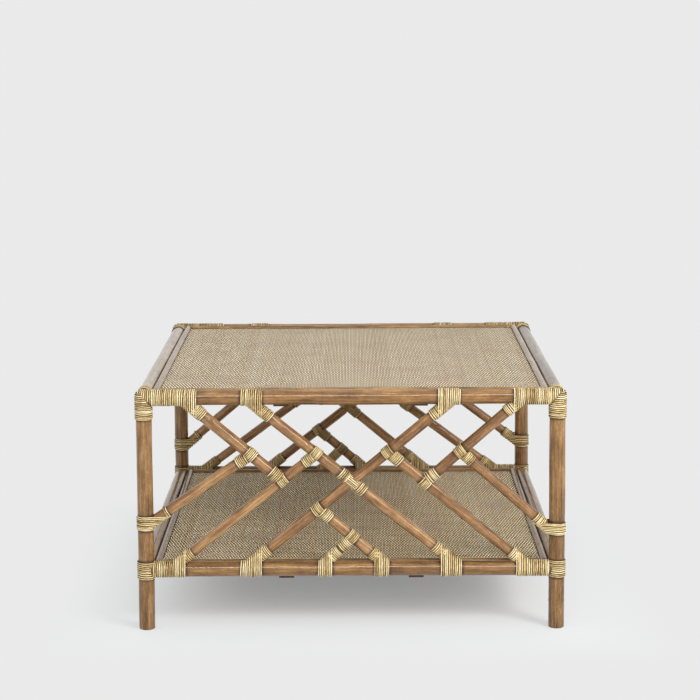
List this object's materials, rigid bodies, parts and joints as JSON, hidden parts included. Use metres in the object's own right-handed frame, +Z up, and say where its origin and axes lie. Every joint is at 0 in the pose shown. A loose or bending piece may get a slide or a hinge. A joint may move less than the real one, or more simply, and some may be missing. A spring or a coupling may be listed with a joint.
{
  "type": "coffee table",
  "caption": "Square low table of round rattan poles with a woven mat top, a woven mat shelf, open lattice front and back, open sides and joints bound in peel.",
  "frame": {"origin": "on the floor, under the middle of the table", "axes": "+Z up, +X to the right along the front, +Y from the front lattice to the back lattice"},
  "size_m": [0.8048, 0.8048, 0.4574],
  "materials": {
    "pole": "satin lacquered natural brown rattan pole",
    "lattice_pole": "satin lacquered natural brown rattan pole",
    "binding": "semi-matt straw coloured rattan peel",
    "top_mat": "matt greige woven rattan peel",
    "shelf_mat": "matt greige woven rattan peel",
    "board": "raw plywood",
    "batten": "dark stained softwood",
    "bead": "satin lacquered half-round rattan"
  },
  "bodies": {
    "root": {"front_left_leg": "pole", "front_right_leg": "pole", "back_left_leg": "pole", "back_right_leg": "pole", "front_top_rail": "pole", "front_shelf_rail": "pole", "front_upper_left_brace": "lattice_pole", "front_left_leg_brace": "lattice_pole", "front_lower_left_brace": "lattice_pole", "front_main_diagonal": "lattice_pole", "front_cross_diagonal_lower": "lattice_pole", "front_cross_diagonal_upper": "lattice_pole", "front_foot_brace": "lattice_pole", "front_short_foot_brace": "lattice_pole", "front_lower_right_brace": "lattice_pole", "front_upper_right_brace": "lattice_pole", "front_right_leg_brace": "lattice_pole", "back_top_rail": "pole", "back_shelf_rail": "pole", "back_upper_left_brace": "lattice_pole", "back_left_leg_brace": "lattice_pole", "back_lower_left_brace": "lattice_pole", "back_main_diagonal": "lattice_pole", "back_cross_diagonal_lower": "lattice_pole", "back_cross_diagonal_upper": "lattice_pole", "back_foot_brace": "lattice_pole", "back_short_foot_brace": "lattice_pole", "back_lower_right_brace": "lattice_pole", "back_upper_right_brace": "lattice_pole", "back_right_leg_brace": "lattice_pole", "front_upper_left_corner_winding": "binding", "front_upper_right_corner_winding": "binding", "front_lower_left_corner_winding": "binding", "front_lower_right_corner_winding": "binding", "back_upper_left_corner_winding": "binding", "back_upper_right_corner_winding": "binding", "back_lower_left_corner_winding": "binding", "back_lower_right_corner_winding": "binding", "left_top_rail": "pole", "right_top_rail": "pole", "left_shelf_rail": "pole", "right_shelf_rail": "pole", "top_mat": "top_mat", "top_board": "board", "top_left_bead": "bead", "top_right_bead": "bead", "top_front_bead": "bead", "top_back_bead": "bead", "top_left_batten": "batten", "top_right_batten": "batten", "shelf_mat": "shelf_mat", "shelf_board": "board", "shelf_left_bead": "bead", "shelf_right_bead": "bead", "shelf_front_bead": "bead", "shelf_back_bead": "bead", "shelf_left_batten": "batten", "shelf_right_batten": "batten"}
  },
  "joints": []
}
